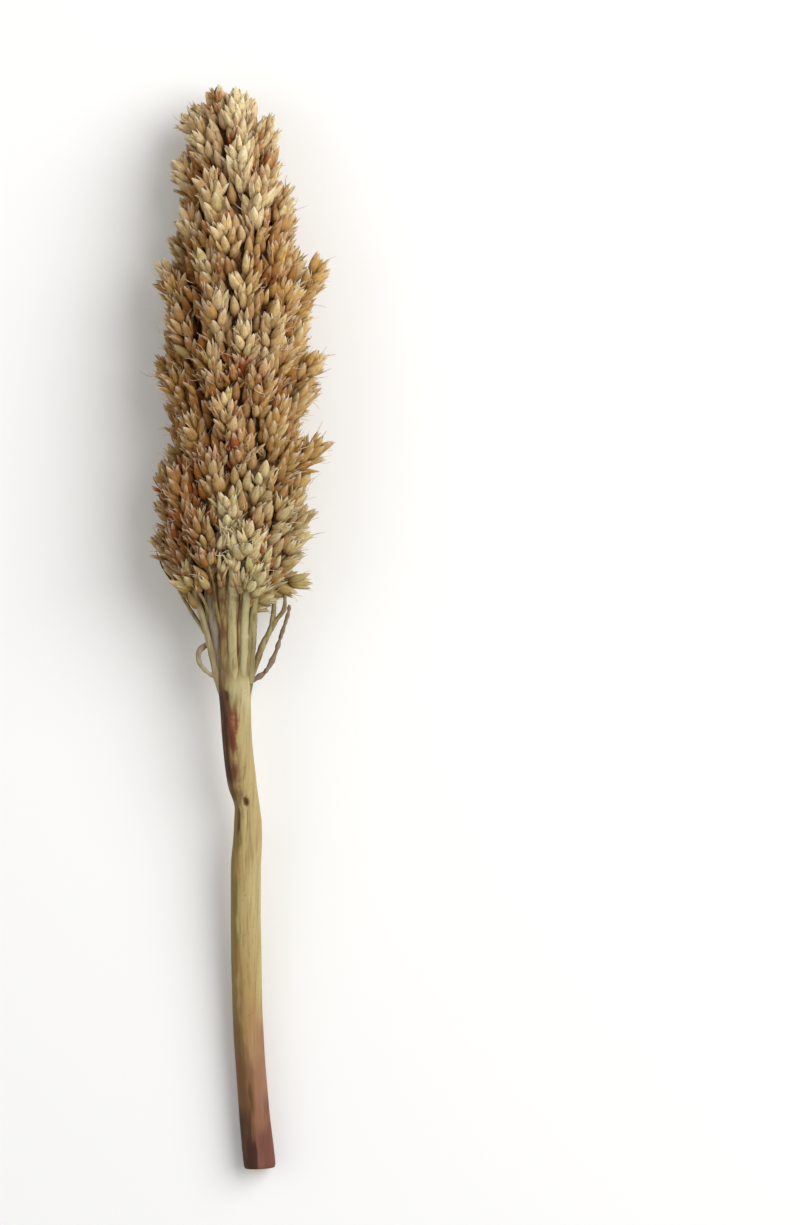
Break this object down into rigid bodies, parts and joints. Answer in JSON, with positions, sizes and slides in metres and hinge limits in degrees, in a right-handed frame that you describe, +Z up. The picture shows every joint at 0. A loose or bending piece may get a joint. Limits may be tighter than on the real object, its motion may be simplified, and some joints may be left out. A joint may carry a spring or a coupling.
{
  "type": "sorghum seed head",
  "caption": "Dried sorghum seed head lying on its side: dense sprays of husked grain round a rachis, bare twigs at the base and a kinked, cut stalk.",
  "frame": {"origin": "on the surface that the head lies on, under the middle of the whole thing's length and width", "axes": "+Y from the stalk's cut end to the head's tip, +Z up from the surface, +X to the right seen from above"},
  "size_m": [0.0497, 0.3052, 0.0377],
  "materials": {
    "stalk": "dry, smooth and faintly ribbed, straw green turning maroon at the cut",
    "seed_head": "dry, matt, papery husks"
  },
  "bodies": {
    "root": {"stalk": "stalk", "seed_head": "seed_head"}
  },
  "joints": []
}
